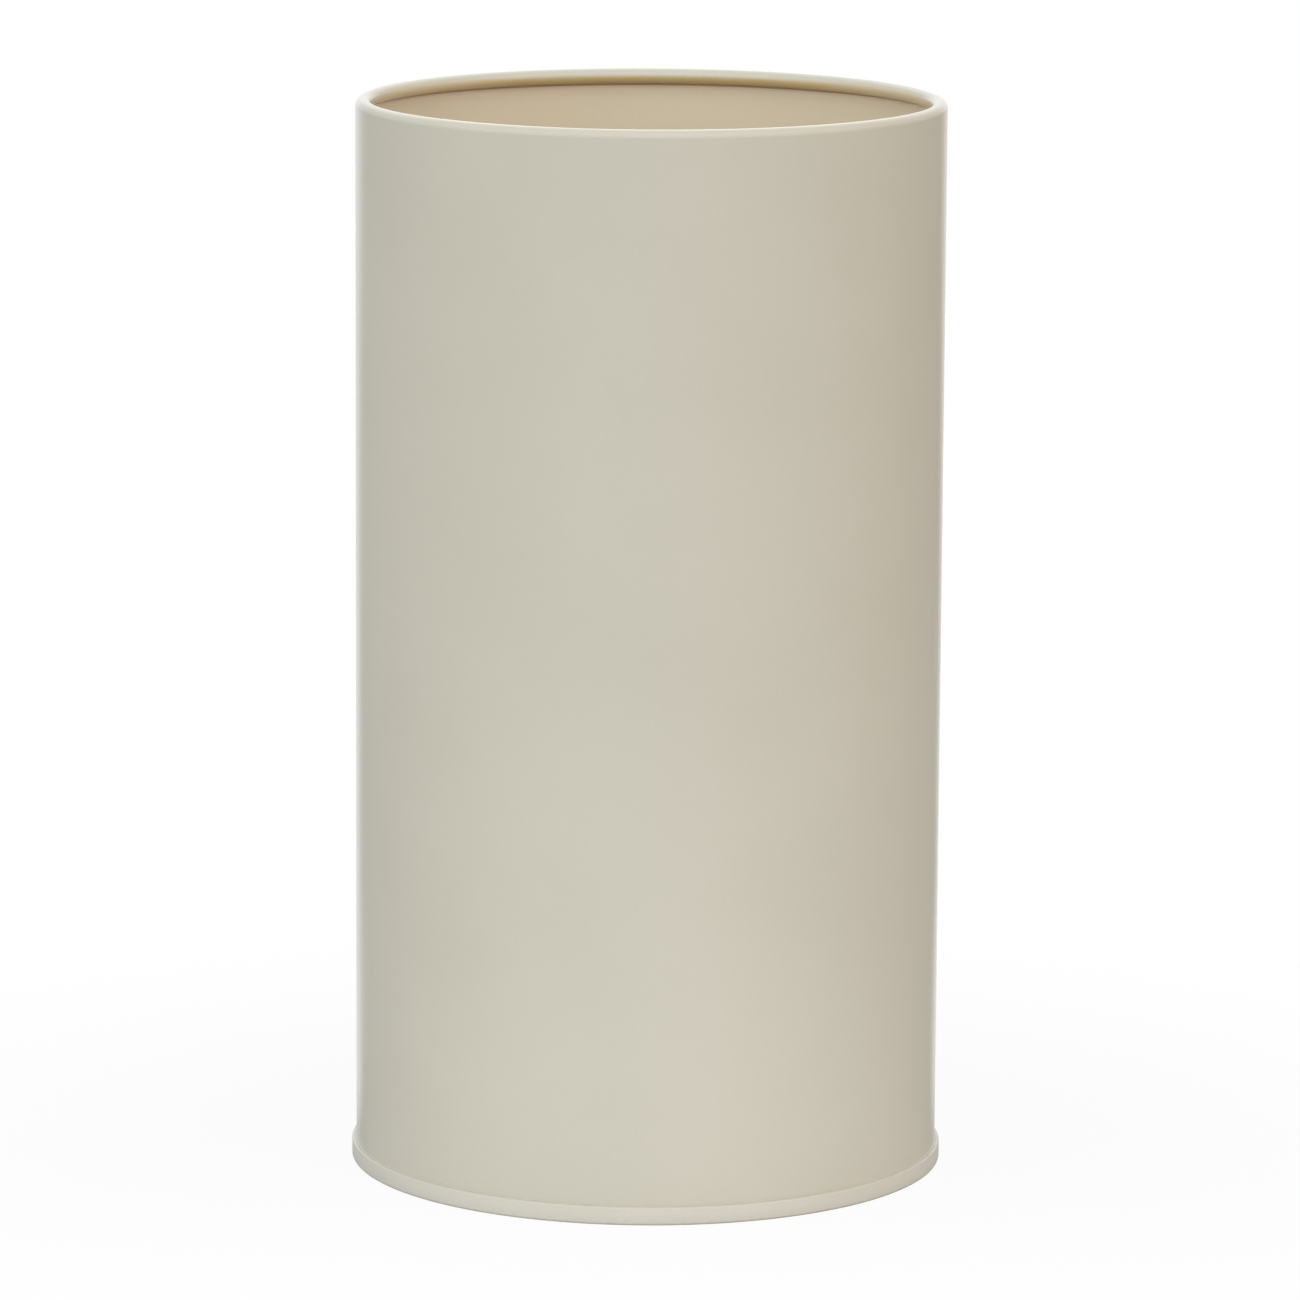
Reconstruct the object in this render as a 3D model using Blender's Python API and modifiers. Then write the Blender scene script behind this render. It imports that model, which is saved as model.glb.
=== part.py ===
# Open cylindrical storage tin, in metres, +Z up, standing on z = 0.
# A tinplate sheet is rolled round and locked along one side, curled in at the mouth,
# and closed at the foot by a pressed end that is double-seamed onto it.

import math

import bmesh
import bpy

# Overall size
TIN_HEIGHT = 0.1812
WALL_RADIUS = 0.0495

# Sheet, and the play left between its layers where a seam is pressed shut
BODY_SHEET = 0.0002
END_SHEET = 0.0002
PRESSED_GAP = 0.000045

# Curled mouth, split where the side seam runs into it
CURL_DIAMETER = 0.00262
CURL_SWEEP = math.radians(300)
CURL_SPLIT = 0.00025

# Lock seam down the side
SIDE_SEAM_AZIMUTH = math.radians(165)
LOCK_OVERLAP = 0.0022
LOCK_END_GAP = 0.0001
JOGGLE_ANGLE = math.radians(70)
LOCK_TO_CURL = 0.0012
LOCK_TO_END = 0.0006
NOTCH_RELIEF = 0.00015

# Double seam round the foot
SEAM_HEIGHT = 0.0031
SEAM_CORNER = 0.0003
HOOK_CLEARANCE = 0.00035
SEALANT_HEIGHT = 0.00025
SEALANT_WIDTH = 0.0005

# Pressed end
COUNTERSINK_DEPTH = 0.0042
COUNTERSINK_BEND = 0.0005
PANEL_WALL = 0.0002
PANEL_BEND = 0.0005
OUTER_BEAD_RADIUS = 0.0380
INNER_BEAD_RADIUS = 0.0250
BEAD_HEIGHT = 0.0007
BEAD_BEND = 0.0014

# Facets
SEGMENTS = 64
LOCK_STEP = math.radians(15)
CURL_STEP = math.radians(30)
PRESSED_STEP = math.radians(45)
SEALANT_STEP = math.radians(90)
SHARP_ANGLE = math.radians(50)
MERGE_DISTANCE = 0.000001

# Radii of the sheets' centre lines in the double seam, from inside to outside
CHUCK_WALL = WALL_RADIUS - BODY_SHEET - PRESSED_GAP - END_SHEET / 2
BODY_WALL = WALL_RADIUS - BODY_SHEET / 2
COVER_HOOK = WALL_RADIUS + PRESSED_GAP + END_SHEET / 2
BODY_HOOK = COVER_HOOK + END_SHEET / 2 + PRESSED_GAP + BODY_SHEET / 2
SEAM_WALL = BODY_HOOK + BODY_SHEET / 2 + PRESSED_GAP + END_SHEET / 2

# Folds of the double seam
SEALANT_FOOT = END_SHEET + PRESSED_GAP
BODY_FOLD_FOOT = SEALANT_FOOT + SEALANT_HEIGHT + PRESSED_GAP + BODY_SHEET / 2
BODY_FOLD_BEND = (BODY_HOOK - BODY_WALL) / 2
BODY_HOOK_TOP = SEAM_HEIGHT - END_SHEET - HOOK_CLEARANCE
COVER_FOLD_BEND = (SEAM_WALL - COVER_HOOK) / 2
COVER_HOOK_FOOT = BODY_FOLD_FOOT + BODY_SHEET / 2 + HOOK_CLEARANCE

# Curl, and the lock seam between it and the end
CURL_BEND = (CURL_DIAMETER - BODY_SHEET) / 2
CURL_FOOT = TIN_HEIGHT - CURL_DIAMETER / 2
LOCK_TOP = TIN_HEIGHT - CURL_DIAMETER - LOCK_TO_CURL
LOCK_FOOT = COUNTERSINK_DEPTH + END_SHEET + LOCK_TO_END
LOCK_MIDDLE = (LOCK_FOOT + LOCK_TOP) / 2

# The lock seam's four layers lie on one flat facet of the round wall
HALF_FACET = math.pi / SEGMENTS
FACET_EDGE = BODY_WALL * math.sin(HALF_FACET)
LAYER_PITCH = BODY_SHEET + PRESSED_GAP
JOGGLE_DEPTH = 3 * LAYER_PITCH
FOLD_EDGE = FACET_EDGE - JOGGLE_DEPTH / math.tan(JOGGLE_ANGLE / 2)

UP = math.pi / 2
DOWN = -math.pi / 2
OUTWARD = 0
INWARD = math.pi
HALF_TURN = math.pi
QUARTER_TURN = math.pi / 2


class SheetPath:
    """Centre line of a bent sheet, traced from one edge in straight runs and round bends."""

    def __init__(self, start, heading):
        self.points = [start]
        self.heading = heading

    def run_across_to(self, across):
        self.points.append((across, self.points[-1][1]))

    def run_up_to(self, height):
        self.points.append((self.points[-1][0], height))

    def bend(self, radius, angle, step):
        """Turns left for a positive angle, and right for a negative one."""
        across, height = self.points[-1]
        side = self.heading + math.copysign(QUARTER_TURN, angle)
        centre = (across + radius * math.cos(side), height + radius * math.sin(side))
        count = max(1, round(abs(angle) / step))
        for index in range(1, count + 1):
            spoke = side + HALF_TURN + angle * index / count
            self.points.append(
                (centre[0] + radius * math.cos(spoke), centre[1] + radius * math.sin(spoke))
            )
        self.heading += angle

    def rib(self, radius, height, step):
        """Raises a round rib to the right of the path."""
        slope = math.acos(1 - height / (2 * radius))
        self.bend(radius, -slope, step)
        self.bend(radius, 2 * slope, step)
        self.bend(radius, -slope, step)


def clear_scene():
    for thing in list(bpy.data.objects):
        bpy.data.objects.remove(thing, do_unlink=True)


def new_material(name, colour, roughness, metallic):
    material = bpy.data.materials.new(name)
    material.use_nodes = True
    shader = material.node_tree.nodes["Principled BSDF"]
    shader.inputs["Base Color"].default_value = (*colour, 1)
    shader.inputs["Roughness"].default_value = roughness
    shader.inputs["Metallic"].default_value = metallic
    return material


def new_object(name, shape, material, collection):
    mesh = bpy.data.meshes.new(name)
    shape.to_mesh(mesh)
    shape.free()
    mesh.shade_smooth()
    mesh.set_sharp_from_angle(angle=SHARP_ANGLE)
    mesh.materials.append(material)
    thing = bpy.data.objects.new(name, mesh)
    collection.objects.link(thing)
    return thing


def draw_line(points, azimuth, closed=False):
    """A profile standing on the plane through the tin's axis at this azimuth."""
    shape = bmesh.new()
    corners = [
        shape.verts.new((across * math.cos(azimuth), across * math.sin(azimuth), height))
        for across, height in points
    ]
    for pair in zip(corners, corners[1:]):
        shape.edges.new(pair)
    if closed:
        shape.edges.new((corners[-1], corners[0]))
    return shape


def add_turning(thing):
    screw = thing.modifiers.new("Turning", "SCREW")
    screw.steps = SEGMENTS
    screw.render_steps = SEGMENTS
    screw.use_merge_vertices = True
    screw.merge_threshold = MERGE_DISTANCE
    screw.use_smooth_shade = True


def add_sheet_thickness(thing, thickness):
    sheet = thing.modifiers.new("Sheet thickness", "SOLIDIFY")
    sheet.thickness = thickness
    sheet.offset = 0
    sheet.use_even_offset = True
    sheet.use_quality_normals = True


def body_profile():
    """From the hook's edge down, round the fold, up the wall and round the curl."""
    path = SheetPath((BODY_HOOK, BODY_HOOK_TOP), DOWN)
    path.run_up_to(BODY_FOLD_FOOT + BODY_FOLD_BEND)
    path.bend(BODY_FOLD_BEND, -HALF_TURN, PRESSED_STEP)
    for height in (LOCK_FOOT - NOTCH_RELIEF, LOCK_FOOT, LOCK_TOP, LOCK_TOP + NOTCH_RELIEF, CURL_FOOT):
        path.run_up_to(height)
    path.bend(CURL_BEND, CURL_SWEEP, CURL_STEP)
    return path.points


def hooked_edge():
    """Plan of the sheet's outer edge: it folds inward and runs back."""
    path = SheetPath((FOLD_EDGE, 0), OUTWARD)
    path.bend(LAYER_PITCH, HALF_TURN, LOCK_STEP)
    path.run_across_to(FOLD_EDGE - LOCK_OVERLAP + LOCK_END_GAP)
    return path.points


def joggled_edge():
    """Plan of the sheet's inner edge: it steps in under the fold, runs on and hooks back."""
    outer_bend = 2 * LAYER_PITCH
    first_bend = JOGGLE_DEPTH / (1 - math.cos(JOGGLE_ANGLE)) - outer_bend
    path = SheetPath((FACET_EDGE, 0), INWARD)
    path.bend(first_bend, -JOGGLE_ANGLE, LOCK_STEP)
    path.bend(outer_bend, JOGGLE_ANGLE, LOCK_STEP)
    path.run_across_to(FOLD_EDGE - LOCK_OVERLAP)
    path.bend(LAYER_PITCH, HALF_TURN, LOCK_STEP)
    path.run_across_to(FOLD_EDGE - LOCK_END_GAP)
    return path.points


def seam_facet(shape):
    """The faces of the facet that carries the lock seam, which looks along +X."""
    middles = {face: face.calc_center_median() for face in shape.faces}
    return {face: at for face, at in middles.items() if at.x > 0 and abs(at.y) < FACET_EDGE}


def upright_edge(shape, across):
    """The long upright edge of the wall at this distance across the facet."""

    def miss(edge):
        middle = (edge.verts[0].co + edge.verts[1].co) / 2
        return abs(middle.y - across) + abs(middle.z - LOCK_MIDDLE) - middle.x

    return min(shape.edges, key=miss)


def fold_edge(shape, edge, plan):
    """Pulls an upright edge along the plan, with one face for each stretch."""
    for (across, depth), (next_across, next_depth) in zip(plan, plan[1:]):
        pulled = bmesh.ops.extrude_edge_only(shape, edges=[edge])["geom"]
        corners = [item for item in pulled if isinstance(item, bmesh.types.BMVert)]
        bmesh.ops.translate(shape, verts=corners, vec=(depth - next_depth, next_across - across, 0))
        edge = shape.edges.get(corners)


def open_lock_seam(shape):
    """Cuts the notch for the side seam out of the wall, and splits the curl above it."""
    split_edge = FOLD_EDGE + CURL_SPLIT
    for across in (FOLD_EDGE, split_edge):
        faces = seam_facet(shape)
        around = {item for face in faces for item in (*face.edges, *face.verts)}
        bmesh.ops.bisect_plane(
            shape, geom=[*faces, *around], plane_co=(0, across, 0), plane_no=(0, 1, 0)
        )
    gone = []
    for face, middle in seam_facet(shape).items():
        in_notch = middle.y > FOLD_EDGE and LOCK_FOOT - NOTCH_RELIEF < middle.z < LOCK_TOP + NOTCH_RELIEF
        in_curl = middle.z > CURL_FOOT or middle.x < BODY_WALL - CURL_BEND / 2
        if in_notch or in_curl and FOLD_EDGE < middle.y < split_edge:
            gone.append(face)
    bmesh.ops.delete(shape, geom=gone, context="FACES")


def make_body(collection):
    shape = draw_line(body_profile(), HALF_FACET)
    bmesh.ops.spin(
        shape,
        geom=[*shape.verts, *shape.edges],
        axis=(0, 0, 1),
        angle=2 * math.pi,
        steps=SEGMENTS,
        use_merge=True,
    )
    open_lock_seam(shape)
    fold_edge(shape, upright_edge(shape, FOLD_EDGE), hooked_edge())
    fold_edge(shape, upright_edge(shape, FACET_EDGE), joggled_edge())
    bmesh.ops.recalc_face_normals(shape, faces=shape.faces)
    cream = new_material("cream_lacquer", (0.58, 0.54, 0.45), 0.4, 0)
    body = new_object("body_shell", shape, cream, collection)
    body.rotation_euler.z = SIDE_SEAM_AZIMUTH
    add_sheet_thickness(body, BODY_SHEET)


def end_profile():
    """From the cover hook's edge over and round the seam, up the chuck wall and to the axis."""
    countersink_top = COUNTERSINK_DEPTH + END_SHEET / 2
    path = SheetPath((COVER_HOOK, COVER_HOOK_FOOT), UP)
    path.run_up_to(SEAM_HEIGHT - END_SHEET / 2 - COVER_FOLD_BEND)
    path.bend(COVER_FOLD_BEND, -HALF_TURN, PRESSED_STEP)
    path.run_up_to(END_SHEET / 2 + SEAM_CORNER)
    path.bend(SEAM_CORNER, -QUARTER_TURN, PRESSED_STEP)
    path.run_across_to(CHUCK_WALL + SEAM_CORNER)
    path.bend(SEAM_CORNER, -QUARTER_TURN, PRESSED_STEP)
    path.run_up_to(countersink_top - COUNTERSINK_BEND)
    path.bend(COUNTERSINK_BEND, HALF_TURN, PRESSED_STEP)
    path.run_up_to(countersink_top - COUNTERSINK_BEND - PANEL_WALL)
    path.bend(PANEL_BEND, -QUARTER_TURN, PRESSED_STEP)
    for radius in (OUTER_BEAD_RADIUS, INNER_BEAD_RADIUS):
        path.run_across_to(radius)
        path.rib(BEAD_BEND, BEAD_HEIGHT, CURL_STEP)
    path.run_across_to(0)
    return path.points


def make_end(collection):
    shape = draw_line(end_profile(), 0)
    cream = new_material("cream_lacquer_end", (0.58, 0.54, 0.45), 0.4, 0)
    end = new_object("base_end", shape, cream, collection)
    end.rotation_euler.z = SIDE_SEAM_AZIMUTH + HALF_FACET
    add_turning(end)
    add_sheet_thickness(end, END_SHEET)


def sealant_profile():
    """A flat-sided bead lying under the body fold, traced down its outer side."""
    middle = (BODY_WALL + BODY_HOOK) / 2
    reach = (SEALANT_WIDTH - SEALANT_HEIGHT) / 2
    path = SheetPath((middle + reach, SEALANT_FOOT), INWARD)
    path.run_across_to(middle - reach)
    path.bend(SEALANT_HEIGHT / 2, -HALF_TURN, SEALANT_STEP)
    path.run_across_to(middle + reach)
    path.bend(SEALANT_HEIGHT / 2, -HALF_TURN, SEALANT_STEP)
    return path.points[:-1]


def make_sealant(collection):
    shape = draw_line(sealant_profile(), 0, closed=True)
    grey = new_material("grey_compound", (0.32, 0.32, 0.3), 0.8, 0)
    sealant = new_object("seam_sealant", shape, grey, collection)
    sealant.rotation_euler.z = SIDE_SEAM_AZIMUTH + HALF_FACET
    add_turning(sealant)


def main():
    clear_scene()
    collection = bpy.data.collections.new("storage_tin")
    bpy.context.scene.collection.children.link(collection)
    make_body(collection)
    make_end(collection)
    make_sealant(collection)


main()
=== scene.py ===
# Looks of an open storage tin: its rolled body, its pressed base, their lacquer, and a plain pale studio.
# Everything is in metres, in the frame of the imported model, with +Z up along the tin's axis.

import math

import bmesh
import bpy
from mathutils import Matrix, Vector, noise


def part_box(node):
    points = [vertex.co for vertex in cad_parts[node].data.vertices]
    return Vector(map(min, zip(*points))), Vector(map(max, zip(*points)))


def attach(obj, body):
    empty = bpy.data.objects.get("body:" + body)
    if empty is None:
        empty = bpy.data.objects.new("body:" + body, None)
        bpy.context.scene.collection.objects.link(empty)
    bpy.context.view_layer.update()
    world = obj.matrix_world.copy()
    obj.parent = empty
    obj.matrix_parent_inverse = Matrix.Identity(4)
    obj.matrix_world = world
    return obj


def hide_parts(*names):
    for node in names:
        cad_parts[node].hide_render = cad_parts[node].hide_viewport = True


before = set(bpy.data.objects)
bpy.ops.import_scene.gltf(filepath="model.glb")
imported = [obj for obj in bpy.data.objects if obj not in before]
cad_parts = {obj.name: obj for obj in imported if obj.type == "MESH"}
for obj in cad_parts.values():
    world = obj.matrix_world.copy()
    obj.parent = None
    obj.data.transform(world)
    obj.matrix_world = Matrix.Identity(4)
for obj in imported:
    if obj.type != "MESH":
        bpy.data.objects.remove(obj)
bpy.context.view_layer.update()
print("frame loaded:", ", ".join(sorted(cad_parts)))

fullTurn = 2 * math.pi
halfTurn = math.pi
quarterTurn = math.pi / 2
outward, up, inward, down = 0, quarterTurn, halfTurn, -quarterTurn
mergeDistance = 0.000001


# Node trees

class Wire:
    # an output socket, on which sums add Math nodes
    def __init__(self, finish, socket):
        self.finish = finish
        self.socket = socket

    def calc(self, operation, *values):
        return self.finish.node("Math", {"operation": operation}, dict(enumerate(values)))

    def __add__(self, other):
        return self.calc("ADD", self, other)

    def __radd__(self, other):
        return self.calc("ADD", other, self)

    def __sub__(self, other):
        return self.calc("SUBTRACT", self, other)

    def __rsub__(self, other):
        return self.calc("SUBTRACT", other, self)

    def __mul__(self, other):
        return self.calc("MULTIPLY", self, other)

    def __rmul__(self, other):
        return self.calc("MULTIPLY", other, self)

    def __truediv__(self, other):
        return self.calc("DIVIDE", self, other)

    def __pow__(self, other):
        return self.calc("POWER", self, other)


class Finish:
    # a node tree that is filled one node at a time
    def __init__(self, owner):
        owner.use_nodes = True
        self.owner = owner
        self.tree = owner.node_tree
        self.tree.nodes.clear()

    def node(self, kind, settings=None, sockets=None, output=0):
        made = self.tree.nodes.new("ShaderNode" + kind)
        for name, value in (settings or {}).items():
            setattr(made, name, value)
        for name, value in (sockets or {}).items():
            if isinstance(value, Wire):
                self.tree.links.new(value.socket, made.inputs[name])
            else:
                made.inputs[name].default_value = value
        return Wire(self, made.outputs[output]) if len(made.outputs) else None

    def place(self):
        return self.node("TexCoord", output="Object")

    def axes(self, vector):
        return [self.node("SeparateXYZ", sockets={0: vector}, output=axis) for axis in "XYZ"]

    def speckle(self, vector, scale, detail=2.0):
        # noise from 0 to 1, with scale in grains a metre
        return self.node("TexNoise", sockets={"Vector": vector, "Scale": scale, "Detail": detail})

    def ease(self, value, start, end, low=0.0, high=1.0):
        # a smooth step from low at start to high at end
        limits = {"From Min": start, "From Max": end, "To Min": low, "To Max": high}
        return self.node("MapRange", {"interpolation_type": "SMOOTHSTEP"}, {"Value": value, **limits})

    def blend(self, share, first, second):
        # first where share is 0, second where it is 1
        return self.node("Mix", {"data_type": "RGBA"}, {0: share, 6: first, 7: second}, 2)

    def bump(self, height, depth, below=None):
        sockets = {"Height": height, "Distance": depth}
        if below:
            sockets["Normal"] = below
        return self.node("Bump", sockets=sockets)

    def surface(self, **sockets):
        named = {name.replace("_", " "): value for name, value in sockets.items()}
        shader = self.node("BsdfPrincipled", sockets=named)
        self.node("OutputMaterial", sockets={"Surface": shader})
        return self.owner


def newFinish(name):
    return Finish(bpy.data.materials.new(name))


def opaque(colour):
    return (*colour, 1.0)


# Sheet metal

class Pen:
    # pulls a vertex or an edge along straight runs and round bends, in one plane
    def __init__(self, shape, tip, right, rise, heading, runUp=0.00012):
        self.shape = shape
        self.tip = tip
        self.right = Vector(right)
        self.rise = Vector(rise)
        self.heading = heading
        self.runUp = runUp  # a ring this far from each end of a run keeps its shading flat

    def corners(self):
        return [item for item in self.tip if isinstance(item, bmesh.types.BMVert)]

    def here(self):
        corners = self.corners()
        return sum((corner.co for corner in corners), Vector()) / len(corners)

    def toward(self, angle):
        return self.right * math.cos(angle) + self.rise * math.sin(angle)

    def pull(self, **motion):
        pulled = bmesh.ops.spin(self.shape, geom=self.tip, axis=self.right.cross(self.rise), **motion)
        self.tip = pulled["geom_last"]

    def go(self, length):
        stretches = [length]
        if length > 4 * self.runUp:
            stretches = [self.runUp, length - 2 * self.runUp, self.runUp]
        for stretch in stretches:
            self.pull(cent=self.here(), dvec=self.toward(self.heading) * stretch, angle=0, steps=1)

    def goTo(self, mark):
        # stops where the run's own axis reads mark
        level = abs(math.cos(self.heading)) > abs(math.sin(self.heading))
        axis = self.right if level else self.rise
        self.go(abs(mark - self.here().dot(axis)))

    def bend(self, radius, turn, step=math.radians(10)):
        # turns left for a positive angle, and right for a negative one
        side = self.heading + math.copysign(quarterTurn, turn)
        centre = self.here() + self.toward(side) * radius
        self.pull(cent=centre, angle=turn, steps=max(2, round(abs(turn) / step)))
        self.heading += turn

    def rib(self, radius, height):
        # a round rib to the right of the path
        slope = math.acos(1 - height / (2 * radius))
        self.bend(radius, -slope)
        self.bend(radius, 2 * slope)
        self.bend(radius, -slope)


def startSection(across, height, heading):
    # a pen on the plane through the tin's axis, with across as the distance from it
    shape = bmesh.new()
    first = shape.verts.new((across, 0, height))
    return Pen(shape, [first], (1, 0, 0), (0, 0, 1), heading)


def outwardFaces(shape, radius, slack=0.00005):
    # faces turned so that the upright wall of this radius looks away from the axis
    bmesh.ops.remove_doubles(shape, verts=shape.verts, dist=mergeDistance)
    bmesh.ops.recalc_face_normals(shape, faces=shape.faces)

    def likeness(face):
        return abs(face.calc_center_median().xy.length - radius) < slack, face.calc_area()

    wall = max(shape.faces, key=likeness)
    if wall.normal.xy.dot(wall.calc_center_median().xy) < 0:
        bmesh.ops.reverse_faces(shape, faces=shape.faces)


def newPiece(name, shape, finishes, sheet, sharp=math.radians(35)):
    # gives the centre surface its thickness: outer side, inner side and cut edges in three finishes
    mesh = bpy.data.meshes.new(name)
    shape.to_mesh(mesh)
    shape.free()
    piece = bpy.data.objects.new(name, mesh)
    bpy.context.scene.collection.objects.link(piece)
    for finish in finishes:
        mesh.materials.append(finish)
    wall = piece.modifiers.new("Sheet", "SOLIDIFY")
    wall.thickness = sheet
    wall.offset = 0
    wall.use_even_offset = True
    wall.use_quality_normals = True
    wall.material_offset = 1
    wall.material_offset_rim = 2
    ready = piece.evaluated_get(bpy.context.evaluated_depsgraph_get())
    piece.data = bpy.data.meshes.new_from_object(ready)
    piece.modifiers.clear()
    bpy.data.meshes.remove(mesh)
    piece.data.name = name
    piece.data.shade_smooth()
    piece.data.set_sharp_from_angle(angle=sharp)
    return piece


def ripple(piece, size, length, low, high):
    # an uneven roll mark: points between two heights move in and out by up to size
    for corner in piece.data.vertices:
        share = min(1, max(0, (corner.co.z - low) / (high - low)))
        fade = math.sin(halfTurn * share)
        radius = Vector((corner.co.x, corner.co.y, 0))
        if fade > 0 and radius.length > tin["wallRadius"]:
            spot = noise.noise(radius / length)
            corner.co += radius.normalized() * spot * fade * size


# What both pieces share
tin = {
    "wallRadius": 0.0495,      # outside of the wall
    "height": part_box("body_shell")[1].z,
    "play": 0.000045,          # between the pressed layers of a seam
    "seamHeight": 0.0031,
    "hookGap": 0.00035,        # between a hook's edge and the fold that holds it
    "sideSeam": math.radians(165),
    "facets": 64,              # the flattened strip along the side seam is one of these wide
    "stepsInFacet": 6,
}

body = {
    "sheet": 0.0002,
    "curlWidth": 0.00262,
    "curlSweep": math.radians(300),
    "curlStep": math.radians(7.5),
    "curlSplit": 0.00008,      # hairline through the curl at the side seam
    "hookStep": math.radians(30),
    "sealantHeight": 0.00025,
    "lockOverlap": 0.0022,
    "lockEndGap": 0.0001,
    "lockRunUp": 0.00004,      # a ring this far from each end of a run in the lock
    "joggleAngle": math.radians(70),
    "lockToCurl": 0.0012,
    "lockToEnd": 0.0006,
    "relief": 0.00015,         # slit above and below the lock, where the sheet is one layer again
}

base = {
    "sheet": 0.0002,
    "corner": 0.0003,
    "innerFold": 0.00012,      # bends of the seam's pressed top, beside the wall and on the outside
    "outerFold": 0.00022,
    "pressedPlay": 0.00001,    # between the cover hook and the wall
    "filletReach": 0.00022,    # lacquer in the groove above the seam
    "filletDepth": 0.00015,
    "filletBite": 0.00008,     # it starts this far inside the round wall, to meet the flat strip too
    "filletSharp": math.radians(50),
    "countersinkDepth": 0.0042,
    "countersinkBend": 0.0005,
    "panelWall": 0.0002,
    "panelBend": 0.0005,
    "beads": (0.0380, 0.0250),
    "beadHeight": 0.0007,
    "beadBend": 0.0014,
    "rollMarkDepth": 0.00002,  # unevenness that the seaming rolls leave
    "rollMarkLength": 0.005,
}

# Centre lines of the five sheets in the double seam
pitch = body["sheet"] + tin["play"]
bodyWall = tin["wallRadius"] - body["sheet"] / 2
chuckWall = bodyWall - pitch
coverHook = tin["wallRadius"] + base["pressedPlay"] + base["sheet"] / 2
bodyHook = bodyWall + 2 * pitch
seamWall = bodyWall + 3 * pitch
bodyFoldFoot = base["sheet"] + body["sealantHeight"] + 2 * tin["play"] + body["sheet"] / 2
halfFacet = halfTurn / tin["facets"]


# Body

def drawBodySection():
    pen = startSection(bodyHook, tin["seamHeight"] - base["sheet"] - tin["hookGap"], down)
    foldBend = (bodyHook - bodyWall) / 2
    pen.goTo(bodyFoldFoot + foldBend)
    pen.bend(foldBend, -halfTurn, body["hookStep"])
    lock = lockSpan()
    for mark in (lock[0] - body["relief"], lock[0], lock[1], lock[1] + body["relief"]):
        pen.goTo(mark)
    pen.goTo(tin["height"] - body["curlWidth"] / 2)
    pen.bend((body["curlWidth"] - body["sheet"]) / 2, body["curlSweep"], body["curlStep"])
    return pen.shape


def lockSpan():
    # lowest and highest point of the lock seam
    foot = base["countersinkDepth"] + base["sheet"] + body["lockToEnd"]
    return foot, tin["height"] - body["curlWidth"] - body["lockToCurl"]


def turnBody(shape):
    # round the tin in fine steps, and over the side seam in one flat strip, which looks along +X
    facet = 2 * halfFacet
    section = shape.verts[:] + shape.edges[:]
    bmesh.ops.rotate(shape, verts=shape.verts, matrix=Matrix.Rotation(halfFacet, 3, "Z"))
    steps = (tin["facets"] - 1) * tin["stepsInFacet"]
    turned = bmesh.ops.spin(shape, geom=section, axis=(0, 0, 1), angle=fullTurn - facet, steps=steps)
    bmesh.ops.spin(shape, geom=turned["geom_last"], axis=(0, 0, 1), angle=facet, steps=1)
    bmesh.ops.remove_doubles(shape, verts=shape.verts, dist=mergeDistance)


def stripFaces(shape, halfStrip):
    middles = {face: face.calc_center_median() for face in shape.faces}
    return {face: at for face, at in middles.items() if at.x > 0 and abs(at.y) < halfStrip}


def uprightEdge(shape, across):
    # the wall's long edge at this distance across the strip
    lock = lockSpan()
    middle = Vector((bodyWall, across, (lock[0] + lock[1]) / 2))

    def miss(edge):
        return ((edge.verts[0].co + edge.verts[1].co) / 2 - middle).length - edge.calc_length() / 2

    return min(shape.edges, key=miss)


def closeSideSeam(shape):
    # a lock seam: the outer edge folds in and back, the inner edge steps under it and hooks into it
    halfStrip = bodyWall * math.sin(halfFacet)
    depth = 3 * pitch
    fold = halfStrip - depth / math.tan(body["joggleAngle"] / 2)
    lock = lockSpan()
    for across in (fold, fold + body["curlSplit"]):
        strip = stripFaces(shape, halfStrip)
        around = {item for face in strip for item in (*face.edges, *face.verts)}
        bmesh.ops.bisect_plane(
            shape, geom=[*strip, *around], plane_co=(0, across, 0), plane_no=(0, 1, 0)
        )
    gone = []
    curlInside = bodyWall - body["curlWidth"] / 4
    for face, at in stripFaces(shape, halfStrip).items():
        inNotch = at.y > fold and lock[0] - body["relief"] < at.z < lock[1] + body["relief"]
        inCurl = at.z > tin["height"] - body["curlWidth"] / 2 or at.x < curlInside
        if inNotch or inCurl and fold < at.y < fold + body["curlSplit"]:
            gone.append(face)
    bmesh.ops.delete(shape, geom=gone, context="FACES")

    def edgePen(across, heading):
        edge = uprightEdge(shape, across)
        return Pen(shape, [edge, *edge.verts], (0, 1, 0), (-1, 0, 0), heading, body["lockRunUp"])

    hooked = edgePen(fold, outward)
    hooked.bend(pitch, halfTurn)
    hooked.goTo(fold - body["lockOverlap"] + body["lockEndGap"])
    joggled = edgePen(halfStrip, inward)
    firstBend = depth / (1 - math.cos(body["joggleAngle"])) - 2 * pitch
    joggled.bend(firstBend, -body["joggleAngle"])
    joggled.bend(2 * pitch, body["joggleAngle"])
    joggled.goTo(fold - body["lockOverlap"])
    joggled.bend(pitch, halfTurn)
    joggled.goTo(fold - body["lockEndGap"])


def makeBody(finishes):
    shape = drawBodySection()
    turnBody(shape)
    closeSideSeam(shape)
    outwardFaces(shape, bodyWall)
    bmesh.ops.rotate(shape, verts=shape.verts, matrix=Matrix.Rotation(tin["sideSeam"], 3, "Z"))
    piece = newPiece("tin_body", shape, finishes, body["sheet"])
    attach(piece, "root")
    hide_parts("body_shell")
    print("body made:", len(piece.data.polygons), "faces")


# Base

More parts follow.
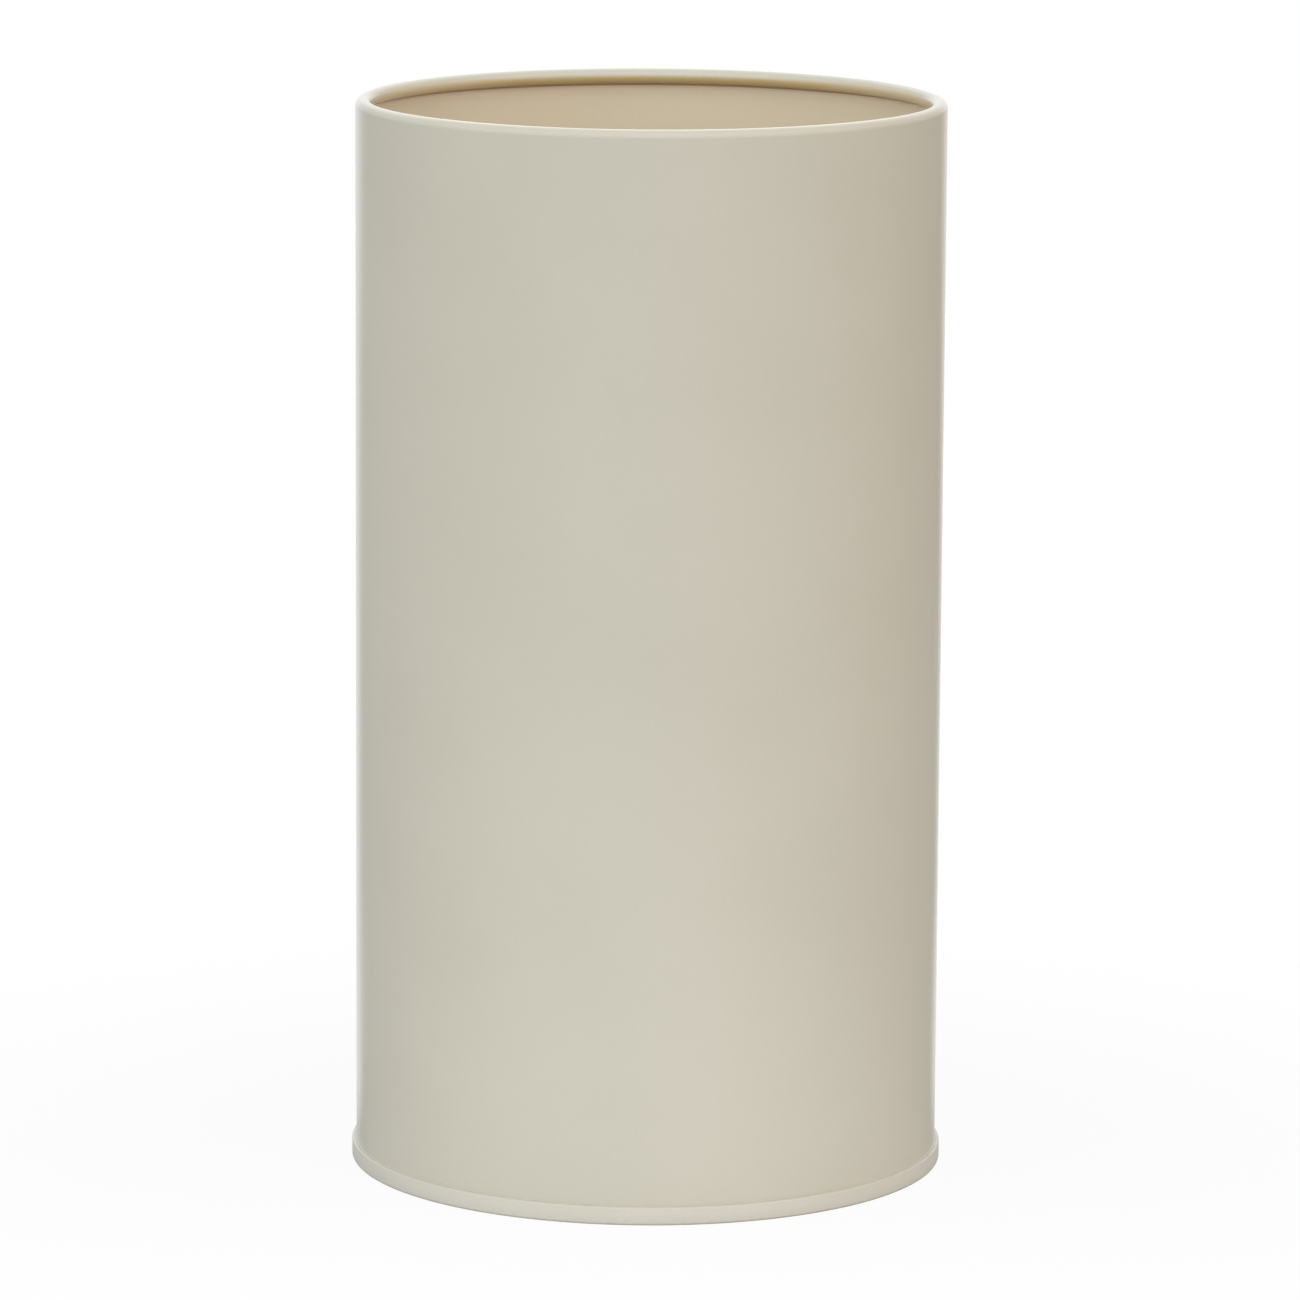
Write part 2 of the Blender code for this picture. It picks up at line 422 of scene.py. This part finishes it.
def drawBaseSection():
    sheet = base["sheet"]
    top = base["countersinkDepth"] + sheet / 2
    pen = startSection(coverHook, bodyFoldFoot + body["sheet"] / 2 + tin["hookGap"], up)
    pen.goTo(tin["seamHeight"] - sheet / 2 - base["innerFold"])
    pen.bend(base["innerFold"], -quarterTurn)
    pen.goTo(seamWall - base["outerFold"])
    pen.bend(base["outerFold"], -quarterTurn)
    pen.goTo(sheet / 2 + base["corner"])
    pen.bend(base["corner"], -quarterTurn)
    pen.goTo(chuckWall + base["corner"])
    pen.bend(base["corner"], -quarterTurn)
    pen.goTo(top - base["countersinkBend"])
    pen.bend(base["countersinkBend"], halfTurn)
    pen.go(base["panelWall"])
    pen.bend(base["panelBend"], -quarterTurn)
    for radius in base["beads"]:
        pen.goTo(radius)
        pen.rib(base["beadBend"], base["beadHeight"])
    pen.goTo(0)
    return pen.shape


def turnFull(shape):
    section = shape.verts[:] + shape.edges[:]
    steps = tin["facets"] * tin["stepsInFacet"]
    bmesh.ops.spin(shape, geom=section, axis=(0, 0, 1), angle=fullTurn, steps=steps, use_merge=True)


def makeBase(finishes):
    shape = drawBaseSection()
    turnFull(shape)
    outwardFaces(shape, seamWall)
    piece = newPiece("tin_base", shape, finishes, base["sheet"])
    ripple(piece, base["rollMarkDepth"], base["rollMarkLength"], 0, tin["seamHeight"])
    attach(piece, "root")
    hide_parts("base_end")
    print("base made:", len(piece.data.polygons), "faces")


def makeFillet(finish):
    # lacquer that has run into the groove between the wall and the seam's top
    reach, depth = base["filletReach"], base["filletDepth"]
    inner = tin["wallRadius"] - base["filletBite"]
    pen = startSection(inner, tin["seamHeight"] + reach, down)
    pen.bend(reach, quarterTurn)
    pen.heading = down
    pen.goTo(tin["seamHeight"] - depth)
    pen.heading = inward
    pen.goTo(inner)
    pen.heading = up
    pen.goTo(tin["seamHeight"] + reach)
    turnFull(pen.shape)
    bmesh.ops.remove_doubles(pen.shape, verts=pen.shape.verts, dist=mergeDistance)
    bmesh.ops.recalc_face_normals(pen.shape, faces=pen.shape.faces)
    mesh = bpy.data.meshes.new("seam_fillet")
    pen.shape.to_mesh(mesh)
    pen.shape.free()
    mesh.materials.append(finish)
    mesh.shade_smooth()
    mesh.set_sharp_from_angle(angle=base["filletSharp"])
    piece = bpy.data.objects.new("seam_fillet", mesh)
    bpy.context.scene.collection.objects.link(piece)
    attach(piece, "root")
    print("fillet made:", len(mesh.polygons), "faces")


# Finishes

lacquer = {
    "cloud": 28,               # soft unevenness of the coat, in grains a metre
    "cloudDetail": 3,
    "cloudShare": 0.6,         # of the step from colour to pale
    "glossChange": 0.08,       # of the roughness, with the clouds
    "peel": 900,               # orange peel
    "peelDepth": 0.000006,
    "fleck": 3200,             # pigment grain
    "fleckDepth": 0.000001,
    "fleckShare": 0.4,
    "contrast": (0.35, 0.65),  # noise between these makes the whole step
}

# A span named Rise holds heights on the curl, which is 1 on its crest and -1 on its underside.
# A tint begins at its span's first value and is full at the second.
creamLacquer = {
    "colour": (0.566, 0.543, 0.455),
    "pale": (0.590, 0.567, 0.478),
    "roughness": 0.20,
    "curlBounceShade": (0.56, 0.43, 0.22),        # painted bounce light and shade, warm tan, on the curl's inner side
    "curlInside": (-0.0001, 0.0001),       # past the middle of the curl, towards the axis
    "insideRise": (-1.6, -1.4),
    "tintRise": (0.47, -0.18),
    "tintEnd": (-0.0475, -0.0445),         # it fades out at the left end of the mouth
    "asideTint": (0.650, 0.545, 0.360),    # less of it to the left and right
    "asideSpan": (0.018, 0.044),
    "asideLift": 0.15,                     # where it begins this much higher
    "curlShade": (0.34, 0.225, 0.080),     # painted shade under the curl
    "shadeRise": (-0.70, -1.05),
    "asideLack": 0.55,                     # share of that painted shade missing to the left and right
    "crestShade": (0.530, 0.508, 0.412),    # painted shade over the crest, toning its highlight down
    "crestRise": (0.4, 0.8),
    "crestHighlight": (0.750, 0.700, 0.590),    # painted highlight along the crest, on the viewer's side
    "highlightRise": (0.90, 0.98),
    "highlightSide": (-0.012, -0.040),
    "highlightPatches": (0.3, 0.6, 0.75, 1.0),  # span of the clouds, and shares of the painted highlight
}

baseLacquer = {
    "colour": (0.610, 0.590, 0.514),
    "pale": (0.636, 0.616, 0.540),
    "roughness": 0.24,
    "footShade": (0.46, 0.43, 0.37),          # painted shade, darker towards the foot where the tin stands
    "footScuffs": (0.0020, 0.0005, 0, 0.25),  # span of heights, and shares of the shade
    "edgeShadeSpan": (0.0006, 0.00005, 0, 0.65),
    "shadePatches": (0.3, 0.6, 0.6, 1.0),     # span of the orange peel, and shares of the painted shade
    "topShade": (0.555, 0.532, 0.456),        # painted shade on the seam's top, toning its bright line down
    "topStart": (0.0027, 0.0030),
    "topEnd": (0.00320, 0.00312),
}

tanLacquer = {
    "colour": (0.722, 0.644, 0.488),
    "pale": (0.752, 0.672, 0.515),
    "roughness": 0.40,
    "ringLight": (0.82, 0.69, 0.54),     # painted light close under the curl, lifting its shade
    "ringRise": (-2.4, -1.7),
    "cornerShade": (0.48, 0.33, 0.19),  # and painted shade in the corner behind it
    "cornerRise": (-1.35, -1.23),
}


def riseOnCurl(z):
    radius = body["curlWidth"] / 2
    return (z - (tin["height"] - radius)) / radius


# Painted light on the curl: warm bounce light and shade on its inner side, shade under it and over its
# crest, and a highlight along the crest.
def tintCurl(finish, look, colour, spot, cloud):
    x, y, z = spot
    rise = riseOnCurl(z)
    inside = (tin["wallRadius"] - body["curlWidth"] / 2) - (x * x + y * y) ** 0.5
    inside = finish.ease(inside, *look["curlInside"]) * finish.ease(rise, *look["insideRise"])
    aside = finish.ease(x.calc("ABSOLUTE", x), *look["asideSpan"])
    # painted bounce light and shade on the curl's inner side
    tint = finish.blend(aside, opaque(look["curlBounceShade"]), opaque(look["asideTint"]))
    tinted = inside * finish.ease(rise - look["asideLift"] * aside, *look["tintRise"])
    tinted = tinted * finish.ease(x, *look["tintEnd"])
    colour = finish.blend(tinted, colour, tint)
    # painted shade under the curl
    underShade = inside * (1 - look["asideLack"] * aside) * finish.ease(rise, *look["shadeRise"])
    colour = finish.blend(underShade, colour, opaque(look["curlShade"]))
    # painted shade over the crest
    colour = finish.blend(finish.ease(rise, *look["crestRise"]), colour, opaque(look["crestShade"]))
    # painted highlight along the crest, on the viewer's side
    highlit = finish.ease(rise, *look["highlightRise"]) * finish.ease(y, *look["highlightSide"])
    highlit = highlit * finish.ease(cloud, *look["highlightPatches"])
    return finish.blend(highlit, colour, opaque(look["crestHighlight"]))


# Painted light and shade on the inside wall close under the curl.
def tintRing(finish, look, colour, z):
    rise = riseOnCurl(z)
    # painted light under the curl
    colour = finish.blend(finish.ease(rise, *look["ringRise"]), colour, opaque(look["ringLight"]))
    # painted shade in the corner under the curl
    return finish.blend(finish.ease(rise, *look["cornerRise"]), colour, opaque(look["cornerShade"]))


# Painted shade on the base: darker towards the foot, and on the seam's top.
def paintBaseShade(finish, look, colour, z, grain):
    footShaded = finish.ease(z, *look["footScuffs"]) + finish.ease(z, *look["edgeShadeSpan"])
    footShaded = footShaded * finish.ease(grain, *look["shadePatches"])
    colour = finish.blend(footShaded, colour, opaque(look["footShade"]))
    # painted shade on the seam's top
    topShaded = finish.ease(z, *look["topStart"]) * finish.ease(z, *look["topEnd"])
    return finish.blend(topShaded, colour, opaque(look["topShade"]))


def makeLacquer(name, look):
    finish = newFinish(name)
    at = finish.place()
    x, y, z = finish.axes(at)
    cloud = finish.speckle(at, lacquer["cloud"], lacquer["cloudDetail"])
    grain = finish.speckle(at, lacquer["peel"])
    fleck = finish.speckle(at, lacquer["fleck"])
    paleness = finish.ease(cloud, *lacquer["contrast"], 0, lacquer["cloudShare"])
    paleness = paleness + finish.ease(fleck, *lacquer["contrast"], 0, lacquer["fleckShare"])
    colour = finish.blend(paleness, opaque(look["colour"]), opaque(look["pale"]))
    if "curlBounceShade" in look:
        colour = tintCurl(finish, look, colour, (x, y, z), cloud)
    if "ringLight" in look:
        colour = tintRing(finish, look, colour, z)
    if "footShade" in look:
        colour = paintBaseShade(finish, look, colour, z, grain)
    relief = finish.bump(fleck, lacquer["fleckDepth"], finish.bump(grain, lacquer["peelDepth"]))
    roughness = look["roughness"] + lacquer["glossChange"] * (cloud - 0.5)
    return finish.surface(Base_Color=colour, Roughness=roughness, Normal=relief)


bareEdge = {
    "dark": (0.42, 0.41, 0.38),
    "bright": (0.58, 0.57, 0.55),
    "grain": 3000,
    "metallic": 0.9,
    "roughness": 0.3,
    "roughnessChange": 0.2,    # with the grain
}


def makeCutEdge():
    finish = newFinish("bare_tinplate_edge")
    grain = finish.speckle(finish.place(), bareEdge["grain"])
    colour = finish.blend(grain, opaque(bareEdge["dark"]), opaque(bareEdge["bright"]))
    roughness = bareEdge["roughness"] + bareEdge["roughnessChange"] * grain
    return finish.surface(Base_Color=colour, Metallic=bareEdge["metallic"], Roughness=roughness)


compound = {
    "dark": (0.26, 0.26, 0.24),
    "bright": (0.38, 0.38, 0.36),
    "grain": 2500,
    "grainDetail": 3,
    "grainDepth": 0.00002,
    "roughness": 0.7,
    "roughnessChange": 0.2,    # with the grain
}


def makeCompound():
    finish = newFinish("grey_compound")
    grain = finish.speckle(finish.place(), compound["grain"], compound["grainDetail"])
    colour = finish.blend(grain, opaque(compound["dark"]), opaque(compound["bright"]))
    relief = finish.bump(grain, compound["grainDepth"])
    roughness = compound["roughness"] + compound["roughnessChange"] * grain
    return finish.surface(Base_Color=colour, Roughness=roughness, Normal=relief)


def dressSealant():
    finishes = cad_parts["seam_sealant"].data.materials
    finishes.clear()
    finishes.append(makeCompound())


# Studio

white = opaque((1.0, 1.0, 1.0))


def raysOf(finish, *kinds):
    # 1 for rays of these kinds, else 0
    rays = [finish.node("LightPath", output=f"Is {kind} Ray") for kind in kinds]
    total = rays[0]
    for ray in rays[1:]:
        total = total + ray
    return total.calc("MINIMUM", total, 1.0)


# Spans of directions, from -1 to 1: x to the viewer's right, y away from the viewer, z up
studio = {
    "front": 1.597,                # the surround's light on the viewer's side, near the horizon
    "side": 0.76,                  # to the left and right of the tin
    "frontToSide": (-0.62, 0.38),  # along y
    "rear": -0.12,                 # added behind the tin
    "rearSpan": (0.5, 0.9),        # along y
    "overhead": 0.90,              # share that is left straight up
    "overheadSpan": (0.15, 0.95),  # along z
    "backLight": 0.75,             # a large soft light, high behind the tin
    "backLightPlace": (0, 0.66, 0.75),
    "backLightSpread": (math.radians(25), math.radians(45)),
    "horizon": 0.55,               # a low bright band straight behind the tin
    "horizonWidth": (0.85, 0.97),  # along y
    "horizonTop": (0.25, 0.10),    # along z
    "leftTint": (0.99, 0.98, 0.95),
    "frontTint": (0.97, 1.00, 1.04),
    "rightTint": (0.98, 0.88, 0.80),
    "leftToFront": (-1.0, -0.3),   # along x
    "frontToRight": (-0.2, 1.0),   # along x
}


def makeWorld():
    world = bpy.data.worlds.new("studio")
    bpy.context.scene.world = world
    finish = Finish(world)
    x, y, z = finish.axes(finish.node("TexCoord", output="Generated"))
    sky = finish.ease(y, *studio["frontToSide"], studio["front"], studio["side"])
    sky = sky + studio["rear"] * finish.ease(y, *studio["rearSpan"])
    sky = sky * finish.ease(z, *studio["overheadSpan"], 1.0, studio["overhead"])
    lamp = Vector(studio["backLightPlace"]).normalized()
    bright, dark = (math.cos(spread) for spread in studio["backLightSpread"])
    facing = x * lamp.x + y * lamp.y + z * lamp.z
    sky = sky + studio["backLight"] * finish.ease(facing, dark, bright)
    band = finish.ease(y, *studio["horizonWidth"]) * finish.ease(z, *studio["horizonTop"])
    sky = sky + studio["horizon"] * band
    forward = finish.ease(x, *studio["leftToFront"])
    tint = finish.blend(forward, opaque(studio["leftTint"]), opaque(studio["frontTint"]))
    tint = finish.blend(finish.ease(x, *studio["frontToRight"]), tint, opaque(studio["rightTint"]))
    seen = raysOf(finish, "Camera")
    strength = sky * (1 - seen) + seen
    colour = finish.blend(seen, tint, white)
    light = finish.node("Background", sockets={"Color": colour, "Strength": strength})
    finish.node("OutputWorld", sockets={"Surface": light})


# Spans of distances: across from the tin's axis, aside from its middle plane, along x or along y
ground = {
    "size": 12.0,
    "near": (0.73, 0.73, 0.73),   # its colour in front of the tin, painted lighter as a pool of light
    "nearPlace": 0.14,            # the middle of that colour is this far in front of the axis
    "far": (0.38, 0.38, 0.37),
    "nearToFar": (0.05, 0.19),
    "warm": (0.325, 0.29, 0.25),  # painted warm light, to the viewer's right
    "warmSpan": (0, 0.6),         # along x
    "shadow": 0.06,               # how much of its own shading the camera sees at the foot
    "shadowSpan": (0.05, 0.20),   # across
    "widening": (0.58, 0.40),     # of the white that the tin mirrors, behind it to the left and right
    "leftToRight": (-0.03, 0.03),
    "nearWidening": 0.15,         # added close to the tin
    "nearSpan": (0.25, 0.05),     # along y
    "farWidening": 0.10,          # added far from it
    "farSpan": (0.7, 1.3),        # along y
    "whiteEdge": (1.0, 0.5),      # shares of the white's width between which it fades in
    "whiteStart": (-0.02, 0.03),  # along y
    "leastRun": 0.01,             # the least distance behind the axis that the width is worked out for
    "footShare": 0.55,            # of the white, at the tin's foot
    "footSpan": (0.050, 0.085),   # across
    "shade": 0.05,                # share of the white straight behind the tin
    "shadeEdge": (0.040, 0.050),  # aside
    "shadeSpread": 0.035,         # how that strip widens with distance
}


def mirroredWhite(finish, x, y, across):
    # 1 where the tin mirrors the ground behind it as white, left and right of the strip that it hides
    aside = x.calc("ABSOLUTE", x)
    slant = (aside - tin["wallRadius"]) / y.calc("MAXIMUM", y, ground["leastRun"])
    widening = finish.ease(x, *ground["leftToRight"], *ground["widening"])
    widening = widening + finish.ease(y, *ground["farSpan"], 0, ground["farWidening"])
    widening = widening + finish.ease(y, *ground["nearSpan"], 0, ground["nearWidening"])
    share = finish.ease(slant / widening, *ground["whiteEdge"]) * finish.ease(y, *ground["whiteStart"])
    share = share * finish.ease(across, *ground["footSpan"], ground["footShare"], 1.0)
    beside = aside - ground["shadeSpread"] * y
    return share * finish.ease(beside, *ground["shadeEdge"], ground["shade"], 1.0)


def makePaper():
    finish = newFinish("floor_paper")
    x, y, _ = finish.axes(finish.place())
    across = (x * x + y * y) ** 0.5
    # The paper's colour is painted light: lighter in a pool in front of the tin, darker farther off,
    # warmer to the right.
    farther = finish.ease((x * x + (y + ground["nearPlace"]) ** 2) ** 0.5, *ground["nearToFar"])
    colour = finish.blend(farther, opaque(ground["near"]), opaque(ground["far"]))
    colour = finish.blend(finish.ease(x, *ground["warmSpan"]), colour, opaque(ground["warm"]))
    paper = finish.node("BsdfDiffuse", sockets={"Color": colour})
    glow = finish.node("Emission", sockets={"Color": white, "Strength": 1.0})
    away = finish.ease(across, *ground["shadowSpan"], 1 - ground["shadow"], 1.0)
    shown = raysOf(finish, "Glossy", "Transmission") * mirroredWhite(finish, x, y, across)
    seen = shown.calc("MAXIMUM", shown, raysOf(finish, "Camera") * away)
    mixed = finish.node("MixShader", sockets={0: seen, 1: paper, 2: glow})
    finish.node("OutputMaterial", sockets={"Surface": mixed})
    return finish.owner


def makeFloor():
    shape = bmesh.new()
    bmesh.ops.create_grid(shape, x_segments=1, y_segments=1, size=ground["size"] / 2)
    mesh = bpy.data.meshes.new("floor")
    shape.to_mesh(mesh)
    shape.free()
    mesh.materials.append(makePaper())
    floor = bpy.data.objects.new("floor", mesh)
    bpy.context.scene.collection.objects.link(floor)


def makeStudio():
    makeWorld()
    makeFloor()
    print("studio made")


camera = {
    "lens": 206.33,               # mm, on a sensor 36 mm wide
    "distance": 1.2420,           # in front of the tin's axis
    "across": 0.00028,            # to the right of it
    "height": 0.31314,
    "tiltDown": math.radians(10.3016),
    "lean": math.radians(0.338),
    "clipStart": 0.1,
    "clipEnd": 50,
}


def makeCamera():
    data = bpy.data.cameras.new("camera")
    data.lens = camera["lens"]
    data.clip_start = camera["clipStart"]
    data.clip_end = camera["clipEnd"]
    eye = bpy.data.objects.new("camera", data)
    bpy.context.scene.collection.objects.link(eye)
    eye.location = (camera["across"], -camera["distance"], camera["height"])
    tilt = Matrix.Rotation(quarterTurn - camera["tiltDown"], 3, "X")
    lean = Matrix.Rotation(camera["lean"], 3, "Z")
    eye.rotation_euler = (tilt @ lean).to_euler()
    bpy.context.scene.camera = eye
    print("camera placed")


cream = makeLacquer("cream_lacquer", creamLacquer)
pale = makeLacquer("base_lacquer", baseLacquer)
tan = makeLacquer("tan_lacquer", tanLacquer)
cutEdge = makeCutEdge()
print("finishes made")
makeBody([cream, tan, cutEdge])
makeBase([pale, tan, cutEdge])
# The fillet takes the paler base lacquer: painted light that lifts the shade in the groove.
makeFillet(pale)
dressSealant()
makeStudio()
makeCamera()
bpy.context.scene.view_settings.view_transform = "Standard"
